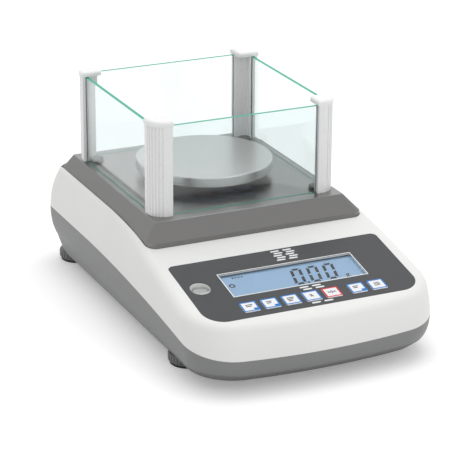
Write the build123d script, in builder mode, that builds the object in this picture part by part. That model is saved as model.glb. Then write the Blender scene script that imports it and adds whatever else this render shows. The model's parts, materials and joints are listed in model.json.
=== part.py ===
from build123d import *
import os
from math import atan2, cos, pi, radians, sin, sqrt, tan

# Precision balance with an open-topped glass draft shield.
# Millimetres, +Z up, the display panel faces -Y, origin on the bench under the middle of the housing.

os.makedirs("parts", exist_ok=True)

# Housing, seen from above
housing_width = 210.0
housing_depth = 338.0
front_corner_radius = 37.0
back_corner_radius = 17.0
front_bow = 9.5
housing_wall = 2.5
crown_radius = 9.0

# Housing, levels of the bulged flanks with how far each is tucked in
underside_height = 9.3
sole_tuck = 8.4
edge_height = 19.5
edge_rise = 1.8
edge_side_tuck = 4.2
edge_front_tuck = 3.0
flank_height = 31.0
flank_rise = 1.0
flank_side_tuck = 1.2
flank_front_tuck = 0.2
waist_height = 48.0
waist_front_tuck = 6.5
shoulder_height = 66.0
shoulder_side_tuck = 1.6
shoulder_front_tuck = 18.0
neck_height = 82.0
neck_side_tuck = 7.2
neck_front_tuck = 30.0
neck_back_tuck = 4.6
crest_height = 96.0
crest_side_tuck = 13.0
crest_front_tuck = 42.0
crest_back_tuck = 8.5

# Housing, top surface: level at the back, sloping panel at the front
top_height = 86.3
panel_tilt = 11.54
panel_break_inset = 32.0
panel_blend = 42.0

# Parting line between the two mouldings: level at the back, falling in an arc to the front
parting_height = 49.5
parting_level_inset = 89.0
parting_arc_radius = 1450.0
tongue_height = 2.2
tongue_thickness = 1.1
tongue_clearance = 0.15

# Steel deck cover
deck_height = 93.3
deck_side_inset = 21.95
deck_back_inset = 13.8
deck_depth = 182.4
deck_corner_radius = 2.0
lip_corner_radius = 8.0
flare_front = 13.5
flare_side = 11.5
flare_back = 5.5
flare_drop = 12.6
lip_drop = 4.8
cover_sheet = 0.8
cover_bend_radius = 1.1
well_clearance = 0.4
well_floor_gap = 0.8
well_floor = 2.4
spindle_hole_radius = 15.0
well_hole_radius = 22.0

# Draft shield
glass_thickness = 3.0
glass_side_inset = 5.95
glass_front_inset = 12.9
glass_back_inset = 9.2
glass_height = 74.0
glass_lift = 0.1
glass_fit = 0.15
glass_end_gap = 0.3
post_size = 17.3
post_outset = 4.3
post_height = 74.7
post_corner_radius = 13.0
post_leg = 7.5
post_slot_end = 11.3
post_notch_radius = 4.0
post_edge_radius = 0.6
flute_count = 6
flute_radius = 0.8
cap_overhang = 0.7
cap_height = 4.4
cap_crown = 2.6
cap_inner_radius = 4.0
post_screw_inset = 6.5
post_screw_radius = 1.5
post_screw_length = 14.0
post_screw_head_radius = 2.8
post_screw_head = 1.8
screw_clearance = 0.15

# Cover retaining knobs
knob_side_inset = 14.95
knob_front_inset = 21.9
knob_back_inset = 24.2
knob_radius = 5.5
knob_height = 3.0
knob_edge_radius = 0.75
knob_shank_radius = 2.0
knob_shank_length = 12.0
knob_boss_radius = 4.6

# Weighing pan and its carrier
pan_forward = 0.8
pan_radius = 56.0
pan_top = 109.7
pan_sheet = 1.0
pan_rim = 8.2
pan_edge_radius = 1.2
pan_ring_radius = 9.0
pan_ring_wall = 2.0
pan_ring_depth = 4.0
pan_ring_clearance = 0.4
spider_hub_radius = 12.0
spider_arm_reach = 42.0
spider_arm_width = 10.0
spider_thickness = 3.0
spider_bottom = 100.5
spider_boss_gap = 0.4
spider_pad_radius = 5.0
spider_pad_post = 2.7
pan_pad_height = 2.3
pan_pad_radius = 4.0
spindle_radius = 5.0
spindle_flange_radius = 9.0
spindle_flange = 2.0
carrier_bottom = 64.0
carrier_thickness = 6.0
carrier_width = 30.0
weigh_gap = 0.7

# Load cell
cell_length = 130.0
cell_width = 30.0
cell_height = 22.0
cell_bottom = 36.0
cell_bore_radius = 8.0
cell_bore_spacing = 28.0
cell_web_slot = 5.0
cell_end_block = 30.0
cell_mount_width = 40.0
cell_mount_length = 34.0
cell_mount_rib = 4.0
cell_screw_radius = 3.0
cell_screw_spacing = 15.0
cell_screw_head_radius = 5.0
cell_screw_head = 5.0
stop_post_radius = 6.0
stop_screw_radius = 3.0
stop_post_height = 17.0
stop_gap = 0.6

# Panel: overlay, display window and keys, measured on the slope from the overlay's top edge
overlay_side_inset = 14.0
overlay_length = 82.0
overlay_below_deck = 39.7
overlay_thickness = 0.5
overlay_gap = 0.15
overlay_top_radius = 5.0
overlay_bottom_radius = 17.0
window_width = 114.0
window_height = 30.8
window_down = 36.9
window_radius = 1.0
window_gap = 0.2
display_width = 126.0
display_height = 42.0
display_thickness = 7.0
display_view_depth = 1.8
lcd_thickness = 1.2
lcd_margin = 1.0
board_thickness = 1.6
display_board_width = 132.0
display_board_x = 4.0
display_board_top = 6.0
display_board_bottom = 85.0
pillar_radius = 3.0
pillar_inset = 4.0
key_names = ["on_off_key", "print_key", "units_key", "percent_key", "tare_key", "mode_key", "set_key"]
key_pitch = 17.45
key_first_x = -51.9
key_split_extra = 4.4
key_split_after = 4
key_down = 69.0
key_width = 13.4
key_height = 12.8
key_radius = 1.4
key_gap = 0.25
key_proud = 0.5
key_flange = 1.0
key_flange_thickness = 1.0
key_flange_gap = 0.2
key_stem_radius = 2.0
key_stem = 0.3
switch_size = 6.0
switch_body = 3.5
switch_plunger_radius = 1.7
switch_gap = 0.7

# Bubble level
level_inset = 13.3
level_down = 34.8
level_bore_radius = 8.2
level_gap = 0.3
level_cup_height = 11.0
level_cup_sunk = 1.7
level_boss_radius = 10.4
level_flange = 2.0
level_boss_spare = 0.4
level_vial_sunk = 0.6
level_vial_radius = 6.4
level_vial_height = 6.0
level_vial_edge_radius = 0.75
level_vial_gap = 0.05

# Levelling feet
foot_side_inset = 22.4
foot_front_inset = 80.2
foot_back_inset = 19.3
foot_pad_radius = 14.4
foot_pad_thickness = 2.0
foot_wheel_radius = 15.8
foot_wheel_clearance = 0.5
foot_wheel_bevel = 0.8
foot_running_gap = 0.2
foot_pin_radius = 4.0
foot_pin_height = 2.0
foot_pin_gap = 0.3
foot_grip_count = 30
foot_grip_radius = 0.9
foot_stud_radius = 3.0
foot_stud_length = 18.0
foot_stud_hole_radius = 3.6
foot_bore_clearance = 0.05
foot_insert_radius = 4.5
foot_insert_length = 14.0
foot_boss_radius = 7.5
foot_boss_spare = 2.0

# Screws that join the two mouldings
joint_screw_side_inset = 17.0
joint_screw_front_inset = 43.0
joint_screw_mid_y = 25.0
joint_screw_back_side_inset = 35.0
joint_screw_back_inset = 45.0
joint_boss_radius = 4.4
joint_front_boss_top = 28.0
joint_back_boss_top = 42.0
joint_screw_radius = 1.6
joint_screw_head_radius = 3.2
joint_screw_head = 2.2
joint_counterbore_radius = 3.8
joint_counterbore_roof = 5.0
joint_screw_reach = 9.0

# Rear connector recess, power inlet and data connector
recess_width = 112.0
recess_bottom = 25.0
recess_top = 46.0
recess_inset = 9.0
recess_wall = 2.2
inlet_x = 36.0
inlet_height = 35.5
inlet_barrel_radius = 5.4
inlet_bore_radius = 3.1
inlet_bore_depth = 9.5
inlet_pin_radius = 1.05
inlet_proud = 1.6
inlet_body_width = 14.0
inlet_body_length = 14.5
inlet_body_height = 11.0
data_x = -32.0
data_height = 35.5
data_flange_width = 31.0
data_flange_height = 12.6
data_flange = 1.0
data_shell_width = 17.0
data_shell_height = 8.4
data_shell_proud = 5.6
data_shell_slant = 10.0
data_shell_radius = 1.6
data_post_spacing = 25.0
data_post_radius = 2.6
data_post_length = 5.0
data_post_bore = 1.15
data_post_bore_depth = 4.4
data_body_width = 19.5
data_body_height = 10.5
data_body_length = 9.0
panel_fit = 0.15

# Main board and the hatch in the underside
main_board_width = 120.0
main_board_depth = 84.0
main_board_inset = 97.0
main_board_height = 24.0
main_pillar_inset = 5.0
chip_size = 14.0
chip_height = 2.0
chip_pitch = 26.0
chip_count = 3
header_length = 32.0
header_width = 6.0
header_height = 8.0
board_screw_radius = 1.2
board_screw_head_radius = 2.5
board_screw_head = 1.6
board_screw_length = 5.0
hatch_radius = 11.0
hatch_flange = 2.0
hatch_flange_thickness = 1.2
hatch_fit = 0.2
hatch_slot_width = 1.6
hatch_slot_length = 17.6

# Values that follow from the sizes above
half_width = housing_width / 2
half_depth = housing_depth / 2
tilt = radians(panel_tilt)
deck_width = housing_width - 2 * deck_side_inset
deck_back_y = half_depth - deck_back_inset
deck_front_y = deck_back_y - deck_depth
glass_width = deck_width - 2 * glass_side_inset
glass_front_y = deck_front_y + glass_front_inset
glass_back_y = deck_back_y - glass_back_inset
knob_x = deck_width / 2 - knob_side_inset
knob_front_y = deck_front_y + knob_front_inset
knob_back_y = deck_back_y - knob_back_inset
pan_y = (deck_front_y + deck_back_y) / 2 - pan_forward
panel_break_y = deck_front_y + panel_break_inset
parting_level_y = half_depth - parting_level_inset
overlay_width = housing_width - 2 * overlay_side_inset
overlay_top_y = deck_front_y - overlay_below_deck
level_x = level_inset - overlay_width / 2
foot_x = half_width - foot_side_inset
foot_front_y = foot_front_inset - half_depth
foot_back_y = half_depth - foot_back_inset
joint_screw_x = half_width - joint_screw_side_inset
joint_screw_front_y = joint_screw_front_inset - half_depth
joint_screw_back_x = half_width - joint_screw_back_side_inset
joint_screw_back_y = half_depth - joint_screw_back_inset
recess_face_y = half_depth - recess_inset
recess_reach = 2 * (recess_inset + recess_wall)
main_board_y = main_board_inset - half_depth
lip_top = deck_height - flare_drop
lip_bottom = lip_top - lip_drop
well_floor_top = lip_bottom - well_floor_gap
cover_underside = deck_height - cover_sheet
overlay_top_height = top_height - (panel_break_y - overlay_top_y) * tan(tilt)
panel = Plane((0, overlay_top_y, overlay_top_height), x_dir=(1, 0, 0), z_dir=(0, -sin(tilt), cos(tilt)))
cell_front_y = pan_y - cell_length / 2
cell_back_y = pan_y + cell_length / 2
cell_top = cell_bottom + cell_height
floor_top = underside_height + housing_wall
display_back = housing_wall + display_thickness
post_x = glass_width / 2 + post_outset
post_front_y = glass_front_y - post_outset
post_back_y = glass_back_y + post_outset
corners = {"front_left": (-1, -1), "front_right": (1, -1), "back_left": (-1, 1), "back_right": (1, 1)}
key_positions = [
    key_first_x + key_pitch * number + (key_split_extra if number > key_split_after else 0)
    for number in range(len(key_names))
]


def save(piece, name):
    """Label a finished piece and write it as its own file."""
    piece.part.label = name
    export_step(piece.part, f"parts/{name}.step")


def plan_outline(side_tuck, front_tuck, back_tuck, wall):
    """Face of the housing's plan outline: straight sides, a bowed front and rounded corners."""
    side = half_width - side_tuck - wall
    front = -half_depth + front_tuck + wall
    back = half_depth - back_tuck - wall
    front_radius = front_corner_radius - wall
    back_radius = back_corner_radius - wall
    bow_radius = (side**2 + front_bow**2) / (2 * front_bow)
    corner_x = side - front_radius
    corner_y = front + bow_radius - sqrt((bow_radius - front_radius) ** 2 - corner_x**2)
    turn = atan2(corner_y - front - bow_radius, corner_x)
    half_turn = (turn + pi / 2) / 2
    touch = (bow_radius * cos(turn), front + bow_radius + bow_radius * sin(turn))
    front_mid = (corner_x + front_radius * cos(turn / 2), corner_y + front_radius * sin(turn / 2))
    back_mid = (
        side - back_radius + back_radius * cos(pi / 4),
        back - back_radius + back_radius * sin(pi / 4),
    )
    with BuildSketch() as outline:
        with BuildLine():
            ThreePointArc((0, front), (bow_radius * sin(half_turn), front + bow_radius * (1 - cos(half_turn))), touch)
            ThreePointArc(touch, front_mid, (side, corner_y))
            Line((side, corner_y), (side, back - back_radius))
            ThreePointArc((side, back - back_radius), back_mid, (side - back_radius, back))
            Line((side - back_radius, back), (0, back))
            mirror(about=Plane.YZ)
        make_face()
    return outline.sketch


def section_plane(height, rise):
    """Plane of one section of the housing, lifted at the back by the given degrees."""
    return Plane((0, 0, height), x_dir=(1, 0, 0), z_dir=(0, -sin(radians(rise)), cos(radians(rise))))


def top_profile(drop):
    """Everything above the housing's top surface, lowered by drop, as a face in the YZ plane."""
    level = top_height - drop
    far = housing_depth
    blend_end = (
        panel_break_y - panel_blend * cos(tilt),
        level - panel_blend * sin(tilt),
    )
    slope_end = (-far, blend_end[1] - (blend_end[0] + far) * tan(tilt))
    with BuildSketch() as profile:
        with BuildLine():
            Line((far, level), (panel_break_y + panel_blend, level))
            TangentArc((panel_break_y + panel_blend, level), blend_end, tangent=(-1, 0))
            Polyline(blend_end, slope_end, (-far, 2 * crest_height), (far, 2 * crest_height), (far, level))
        make_face()
    return profile.sketch


def parting_profile(raise_by):
    """Everything above the parting line, as a face in the YZ plane."""
    level = parting_height + raise_by
    sweep = housing_depth + parting_level_y
    centre_z = level - parting_arc_radius
    end = (parting_level_y - sweep, centre_z + sqrt(parting_arc_radius**2 - sweep**2))
    far = housing_depth
    with BuildSketch() as profile:
        with BuildLine():
            Line((far, level), (parting_level_y, level))
            TangentArc((parting_level_y, level), end, tangent=(-1, 0))
            Polyline(end, (end[0], 2 * crest_height), (far, 2 * crest_height), (far, level))
        make_face()
    return profile.sketch


def housing_form(wall):
    """Closed form of the whole housing, set in all round by wall, with its rounded crown."""
    sections = [
        (edge_height, edge_rise, edge_side_tuck, edge_front_tuck, edge_side_tuck),
        (flank_height, flank_rise, flank_side_tuck, flank_front_tuck, flank_side_tuck),
        (waist_height, 0, 0, waist_front_tuck, 0),
        (shoulder_height, 0, shoulder_side_tuck, shoulder_front_tuck, shoulder_side_tuck),
        (neck_height, 0, neck_side_tuck, neck_front_tuck, neck_back_tuck),
        (crest_height, 0, crest_side_tuck, crest_front_tuck, crest_back_tuck),
    ]
    with BuildPart() as form:
        for height, rise, side_tuck, front_tuck, back_tuck in sections:
            with BuildSketch(section_plane(height, rise)):
                add(plan_outline(side_tuck, front_tuck, back_tuck, wall))
        loft()
        with BuildSketch(Plane.YZ):
            add(top_profile(wall))
        extrude(amount=housing_width, both=True, mode=Mode.SUBTRACT)
        roof = [face for face in form.faces() if face.normal_at().Z > 0.9]
        seams = [edge for face in roof for edge in face.edges()]
        crown = [edge for edge in seams if sum(edge.is_same(other) for other in seams) == 1]
        fillet(crown, radius=crown_radius - wall)
        with BuildSketch(section_plane(edge_height, edge_rise)):
            add(plan_outline(edge_side_tuck, edge_front_tuck, edge_side_tuck, wall))
        with BuildSketch(Plane.XY.offset(underside_height + wall)):
            add(plan_outline(sole_tuck, sole_tuck, sole_tuck, wall))
        loft(ruled=True)
    return form.part


def cover_form(grow, roof, foot):
    """Closed form of the deck cover, grown all round, from the height foot to the height roof."""
    lip_y = (flare_back - flare_front) / 2
    middle_y = deck_front_y + deck_depth / 2
    share = (deck_height - roof) / flare_drop
    with BuildPart() as form:
        with BuildSketch(Plane.XY.offset(roof)):
            with Locations((0, middle_y + lip_y * share)):
                RectangleRounded(
                    deck_width + 2 * (grow + flare_side * share),
                    deck_depth + 2 * grow + (flare_front + flare_back) * share,
                    deck_corner_radius + grow + (lip_corner_radius - deck_corner_radius) * share,
                )
        with BuildSketch(Plane.XY.offset(lip_top)):
            with Locations((0, middle_y + lip_y)):
                RectangleRounded(
                    deck_width + 2 * (flare_side + grow),
                    deck_depth + flare_front + flare_back + 2 * grow,
                    lip_corner_radius + grow,
                )
        loft(ruled=True)
        with BuildSketch(Plane.XY.offset(foot)):
            with Locations((0, middle_y + lip_y)):
                RectangleRounded(
                    deck_width + 2 * (flare_side + grow),
                    deck_depth + flare_front + flare_back + 2 * grow,
                    lip_corner_radius + grow,
                )
        extrude(amount=lip_top - foot)
    return form.part


def overlay_outline(gap):
    """Face of the panel overlay, grown all round by gap, in the panel plane."""
    with BuildSketch() as outline:
        with BuildLine() as line:
            side = overlay_width / 2 + gap
            Polyline((-side, gap), (side, gap), (side, -overlay_length - gap), (-side, -overlay_length - gap), close=True)
            by_height = line.vertices().group_by(Axis.Y)
            fillet(by_height[-1], radius=overlay_top_radius + gap)
            fillet(line.vertices().group_by(Axis.Y)[0], radius=overlay_bottom_radius + gap)
        make_face()
    return outline.sketch


def window_outline(gap):
    """Face of the display window, grown all round by gap, in the panel plane."""
    with BuildSketch() as outline:
        with Locations((0, -window_down)):
            RectangleRounded(window_width + 2 * gap, window_height + 2 * gap, window_radius + gap)
    return outline.sketch


def key_outline(x, grow):
    """Face of one key, grown all round, in the panel plane."""
    with BuildSketch() as outline:
        with Locations((x, -key_down)):
            RectangleRounded(key_width + 2 * grow, key_height + 2 * grow, key_radius + max(grow, 0))
    return outline.sketch


def post_section():
    """Face of a shield post with its outer corner at the origin, legs along +X and +Y, and flutes."""
    size = post_size
    low = post_outset - glass_thickness / 2 - glass_fit
    high = post_outset + glass_thickness / 2 + glass_fit
    with BuildSketch() as section:
        with BuildLine() as line:
            Polyline(
                (0, 0), (size, 0), (size, post_leg), (post_leg, post_leg), (post_leg, size), (0, size), close=True
            )
            outer = line.vertices().sort_by(lambda v: v.X + v.Y)[0]
            fillet(outer, radius=post_corner_radius)
            inner = line.vertices().sort_by_distance((post_leg, post_leg))[0]
            fillet(inner, radius=post_notch_radius)
            tips = [v for v in line.vertices() if max(v.X, v.Y) > size - 0.01]
            fillet(tips, radius=post_edge_radius)
        make_face()
        flute_step = 90 / flute_count
        with Locations((post_corner_radius, post_corner_radius)):
            with PolarLocations(post_corner_radius, flute_count, 180 + flute_step / 2, 90 - flute_step):
                Circle(flute_radius, mode=Mode.SUBTRACT)
        slot_length = size - post_slot_end
        with Locations((post_slot_end + slot_length, (low + high) / 2)):
            Rectangle(2 * slot_length, high - low, mode=Mode.SUBTRACT)
        with Locations(((low + high) / 2, post_slot_end + slot_length)):
            Rectangle(high - low, 2 * slot_length, mode=Mode.SUBTRACT)
    return section.sketch


def corner_plane(side, end, height):
    """Plane at a shield corner whose +X and +Y run into the shield, for a sketch that is then mirrored."""
    y = post_front_y if end < 0 else post_back_y
    return Plane((side * post_x, y, height), x_dir=(-side, 0, 0), z_dir=(0, 0, 1 if side * end > 0 else -1))


# Places shared by several pieces
lower_boss_spots = [
    (-joint_screw_x, joint_screw_front_y, joint_front_boss_top),
    (joint_screw_x, joint_screw_front_y, joint_front_boss_top),
    (-joint_screw_x, joint_screw_mid_y, joint_back_boss_top),
    (joint_screw_x, joint_screw_mid_y, joint_back_boss_top),
    (-joint_screw_back_x, joint_screw_back_y, joint_back_boss_top),
    (joint_screw_back_x, joint_screw_back_y, joint_back_boss_top),
]
foot_spots = {
    name: (side * foot_x, foot_front_y if end < 0 else foot_back_y) for name, (side, end) in corners.items()
}
knob_spots = [(side * knob_x, knob_front_y if end < 0 else knob_back_y) for side, end in corners.values()]
post_screw_spots = [
    (side * (post_x - post_screw_inset), (post_front_y if end < 0 else post_back_y) - end * post_screw_inset)
    for side, end in corners.values()
]
main_pillar_spots = [
    (side * (main_board_width / 2 - main_pillar_inset), main_board_y + end * (main_board_depth / 2 - main_pillar_inset))
    for side, end in corners.values()
]
display_pillar_spots = [
    (
        display_board_x + side * (display_board_width / 2 - pillar_inset),
        -(display_board_top + pillar_inset) if end > 0 else -(display_board_bottom - pillar_inset),
    )
    for side, end in corners.values()
]
level_y = overlay_top_y - level_down * cos(tilt)
level_surface = overlay_top_height - level_down * sin(tilt)
level_cup_top = level_surface - level_cup_sunk
level_boss_drop = housing_wall / cos(tilt) + level_boss_radius * tan(tilt) + level_boss_spare
level_seat = level_surface - level_boss_drop
foot_wheel_top = underside_height - foot_wheel_clearance
foot_wheel_bottom = foot_pad_thickness + foot_running_gap
foot_boss_top = floor_top + foot_insert_length + foot_boss_spare
screw_roof = underside_height + joint_counterbore_roof

outer_form = housing_form(0)
inner_form = housing_form(housing_wall)

# Hollow of the lower housing, with the room that its bosses and the connector recess keep
with BuildPart() as lower_hollow:
    add(inner_form)
    with BuildSketch(Plane.XZ.offset(recess_wall - recess_face_y)):
        with Locations((0, (recess_top + recess_bottom) / 2)):
            Rectangle(recess_width + 2 * recess_wall, recess_top - recess_bottom + 2 * recess_wall)
    extrude(amount=-recess_reach, mode=Mode.SUBTRACT)
    with BuildSketch(Plane.XY.offset(underside_height)):
        with Locations(*foot_spots.values()):
            Circle(foot_boss_radius)
    extrude(amount=foot_boss_top - underside_height, mode=Mode.SUBTRACT)
    for x, y, top in lower_boss_spots:
        with BuildSketch(Plane.XY.offset(underside_height)):
            with Locations((x, y)):
                Circle(joint_boss_radius)
        extrude(amount=top - underside_height, mode=Mode.SUBTRACT)
    with BuildSketch(Plane.XY.offset(underside_height)):
        with Locations(*main_pillar_spots):
            Circle(pillar_radius)
    extrude(amount=main_board_height - underside_height, mode=Mode.SUBTRACT)
    with BuildSketch(Plane.YZ):
        add(parting_profile(tongue_height))
    extrude(amount=housing_width, both=True, mode=Mode.SUBTRACT)

# Tongue that stands up from the lower housing's rim
with BuildPart() as tongue:
    add(housing_form(housing_wall - tongue_thickness))
    with BuildSketch(Plane.YZ):
        add(parting_profile(tongue_height))
    extrude(amount=housing_width, both=True, mode=Mode.SUBTRACT)

# Lower housing: grey moulded tray with bosses, a locating tongue and the connector recess
with BuildPart() as lower_housing:
    add(outer_form)
    with BuildSketch(Plane.YZ):
        add(parting_profile(0))
    extrude(amount=housing_width, both=True, mode=Mode.SUBTRACT)
    add(tongue.part)
    add(lower_hollow.part, mode=Mode.SUBTRACT)
    with BuildSketch(Plane.XZ.offset(-recess_face_y)):
        with Locations((0, (recess_top + recess_bottom) / 2)):
            RectangleRounded(recess_width, recess_top - recess_bottom, recess_wall)
    extrude(amount=-recess_reach, mode=Mode.SUBTRACT)
    with BuildSketch(Plane.XZ.offset(-recess_face_y)):
        with Locations((inlet_x, inlet_height)):
            Circle(inlet_barrel_radius + panel_fit)
        with Locations((data_x, data_height)):
            Rectangle(data_body_width + 2 * panel_fit, data_body_height + 2 * panel_fit)
    extrude(amount=recess_wall, mode=Mode.SUBTRACT)
    with BuildSketch(Plane.XY.offset(underside_height)):
        with Locations((0, pan_y)):
            Circle(hatch_radius + hatch_flange + hatch_fit)
    extrude(amount=hatch_flange_thickness, mode=Mode.SUBTRACT)
    with BuildSketch(Plane.XY.offset(underside_height)):
        with Locations(*foot_spots.values()):
            Circle(foot_stud_hole_radius)
        with Locations((0, pan_y)):
            Circle(hatch_radius + hatch_fit)
    extrude(amount=housing_wall, mode=Mode.SUBTRACT)
    with BuildSketch(Plane.XY.offset(underside_height)):
        with Locations(*((x, y) for x, y, top in lower_boss_spots)):
            Circle(joint_counterbore_radius)
    extrude(amount=joint_counterbore_roof, mode=Mode.SUBTRACT)
    with BuildSketch(Plane.XY.offset(floor_top)):
        with Locations(*foot_spots.values()):
            Circle(foot_insert_radius)
    extrude(amount=foot_boss_top - floor_top, mode=Mode.SUBTRACT)
    for x, y, top in lower_boss_spots:
        with BuildSketch(Plane.XY.offset(screw_roof)):
            with Locations((x, y)):
                Circle(joint_screw_radius + screw_clearance)
        extrude(amount=top - screw_roof, mode=Mode.SUBTRACT)
    with BuildSketch(Plane.XY.offset(main_board_height - board_screw_length)):
        with Locations(*main_pillar_spots):
            Circle(board_screw_radius)
    extrude(amount=board_screw_length, mode=Mode.SUBTRACT)
save(lower_housing, "lower_housing")

# Hollow of the upper housing, with the room that the well, the bosses and the pillars keep
with BuildPart() as upper_hollow:
    add(inner_form)
    add(cover_form(well_clearance + housing_wall, deck_height, well_floor_top - well_floor), mode=Mode.SUBTRACT)
    for x, y, top in lower_boss_spots:
        with BuildSketch(Plane.XY.offset(top)):
            with Locations((x, y)):
                Circle(joint_boss_radius)
        extrude(amount=deck_height - top, mode=Mode.SUBTRACT)
    with BuildSketch(panel.offset(-display_back)):
        with Locations(*display_pillar_spots):
            Circle(pillar_radius)
    extrude(amount=display_back, mode=Mode.SUBTRACT)
    with BuildSketch(Plane.XY.offset(level_seat)):
        with Locations((level_x, level_y)):
            Circle(level_boss_radius)
    extrude(amount=level_surface - level_seat, mode=Mode.SUBTRACT)

# Rebate inside the upper housing's rim, which takes the tongue
with BuildPart() as rebate:
    add(housing_form(housing_wall - tongue_thickness - tongue_clearance))
    with BuildSketch(Plane.YZ):
        add(parting_profile(tongue_height + tongue_clearance))
    extrude(amount=housing_width, both=True, mode=Mode.SUBTRACT)

# Upper housing: white moulded shell with the sunk well for the steel cover and the sloping panel
with BuildPart() as upper_housing:
    add(outer_form)
    with BuildSketch(Plane.YZ):
        add(parting_profile(0))
    extrude(amount=housing_width, both=True, mode=Mode.INTERSECT)
    add(rebate.part, mode=Mode.SUBTRACT)
    add(upper_hollow.part, mode=Mode.SUBTRACT)
    with BuildSketch(Plane.XY.offset(well_floor_top)):
        with Locations((0, deck_front_y + (deck_depth + flare_back - flare_front) / 2)):
            RectangleRounded(
                deck_width + 2 * (flare_side + well_clearance),
                deck_depth + flare_front + flare_back + 2 * well_clearance,
                lip_corner_radius + well_clearance,
            )
    extrude(amount=deck_height - well_floor_top, mode=Mode.SUBTRACT)
    with BuildSketch(Plane.XY.offset(well_floor_top)):
        with Locations(*knob_spots):
            Circle(knob_boss_radius)
    extrude(amount=cover_underside - well_floor_top)
    with BuildSketch(Plane.XY.offset(cover_underside - knob_shank_length + cover_sheet)):
        with Locations(*knob_spots):
            Circle(knob_shank_radius)
    extrude(amount=knob_shank_length - cover_sheet, mode=Mode.SUBTRACT)
    with BuildSketch(Plane.XY.offset(well_floor_top)):
        with Locations((0, pan_y)):
            Circle(well_hole_radius)
    extrude(amount=-well_floor, mode=Mode.SUBTRACT)
    with BuildSketch(panel):
        add(overlay_outline(overlay_gap))
    extrude(amount=-overlay_thickness, mode=Mode.SUBTRACT)
    with BuildSketch(panel):
        add(window_outline(window_gap))
        for x in key_positions:
            add(key_outline(x, key_gap))
    extrude(amount=-housing_wall, mode=Mode.SUBTRACT)
    with BuildSketch(Plane.XY.offset(level_seat)):
        with Locations((level_x, level_y)):
            Circle(level_bore_radius)
    extrude(amount=deck_height - level_seat, mode=Mode.SUBTRACT)
    with BuildSketch(panel.offset(-display_back)):
        with Locations(*display_pillar_spots):
            Circle(board_screw_radius)
    extrude(amount=board_screw_length, mode=Mode.SUBTRACT)
    for x, y, top in lower_boss_spots:
        with BuildSketch(Plane.XY.offset(top)):
            with Locations((x, y)):
                Circle(joint_screw_radius)
        extrude(amount=joint_screw_reach + screw_clearance, mode=Mode.SUBTRACT)
save(upper_housing, "upper_housing")

# Deck cover: one folded steel sheet with flared skirts and an upright lip
with BuildPart() as deck_cover:
    add(cover_form(0, deck_height, lip_bottom))
    fillet(deck_cover.edges().group_by(Axis.Z)[-1], radius=cover_bend_radius)
    add(cover_form(-cover_sheet, cover_underside, lip_bottom), mode=Mode.SUBTRACT)
    with BuildSketch(Plane.XY.offset(cover_underside)):
        with Locations((0, pan_y)):
            Circle(spindle_hole_radius)
        with Locations(*knob_spots):
            Circle(knob_shank_radius + screw_clearance)
        with Locations(*post_screw_spots):
            Circle(post_screw_radius + screw_clearance)
    extrude(amount=cover_sheet, mode=Mode.SUBTRACT)
save(deck_cover, "deck_cover")

# Cover retaining knobs
with BuildPart() as cover_knobs:
    with BuildSketch(Plane.XY.offset(deck_height)):
        with Locations(*knob_spots):
            Circle(knob_radius)
    extrude(amount=knob_height)
    fillet(cover_knobs.edges().group_by(Axis.Z)[-1], radius=knob_edge_radius)
    with BuildSketch(Plane.XY.offset(deck_height)):
        with Locations(*knob_spots):
            Circle(knob_shank_radius)
    extrude(amount=-knob_shank_length)
save(cover_knobs, "cover_knobs")

# Draft shield posts and their caps
for name, (side, end) in corners.items():
    up = side * end
    with BuildPart() as shield_post:
        with BuildSketch(corner_plane(side, end, deck_height)):
            add(post_section())
        extrude(amount=post_height * up)
        with BuildSketch(corner_plane(side, end, deck_height)):
            with Locations((post_screw_inset, post_screw_inset)):
                Circle(post_screw_radius)
        extrude(amount=(post_screw_length - cover_sheet) * up, mode=Mode.SUBTRACT)
    save(shield_post, f"shield_post_{name}")

    with BuildPart() as post_cap:
        with BuildSketch(corner_plane(side, end, deck_height + post_height)):
            with BuildLine() as cap_line:
                low = -cap_overhang
                high = post_size + cap_overhang
                Polyline((low, low), (high, low), (high, high), (low, high), close=True)
                outer = cap_line.vertices().sort_by(lambda v: v.X + v.Y)[0]
                fillet(outer, radius=post_corner_radius + cap_overhang)
                inner = cap_line.vertices().sort_by(lambda v: v.X + v.Y)[-1]
                fillet(inner, radius=cap_inner_radius)
            make_face()
        extrude(amount=cap_height * up)
        fillet(post_cap.edges().group_by(Axis.Z)[-1], radius=cap_crown)
    save(post_cap, f"post_cap_{name}")

# Post screws, from below the cover
with BuildPart() as post_screws:
    with BuildSketch(Plane.XY.offset(cover_underside)):
        with Locations(*post_screw_spots):
            Circle(post_screw_head_radius)
    extrude(amount=-post_screw_head)
    with BuildSketch(Plane.XY.offset(cover_underside)):
        with Locations(*post_screw_spots):
            Circle(post_screw_radius)
    extrude(amount=post_screw_length)
save(post_screws, "post_screws")

# Glass panes: front, back, left and right, each standing in the slots of two posts
cross_length = 2 * (post_x - post_slot_end - glass_end_gap)
side_length = post_back_y - post_front_y - 2 * (post_slot_end + glass_end_gap)
panes = {
    "front_glass": (0, glass_front_y, cross_length, glass_thickness),
    "back_glass": (0, glass_back_y, cross_length, glass_thickness),
    "left_glass": (-glass_width / 2, (glass_front_y + glass_back_y) / 2, glass_thickness, side_length),
    "right_glass": (glass_width / 2, (glass_front_y + glass_back_y) / 2, glass_thickness, side_length),
}
for name, (x, y, along_x, along_y) in panes.items():
    with BuildPart() as pane:
        with BuildSketch(Plane.XY.offset(deck_height + glass_lift)):
            with Locations((x, y)):
                Rectangle(along_x, along_y)
        extrude(amount=glass_height)
    save(pane, name)

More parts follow.
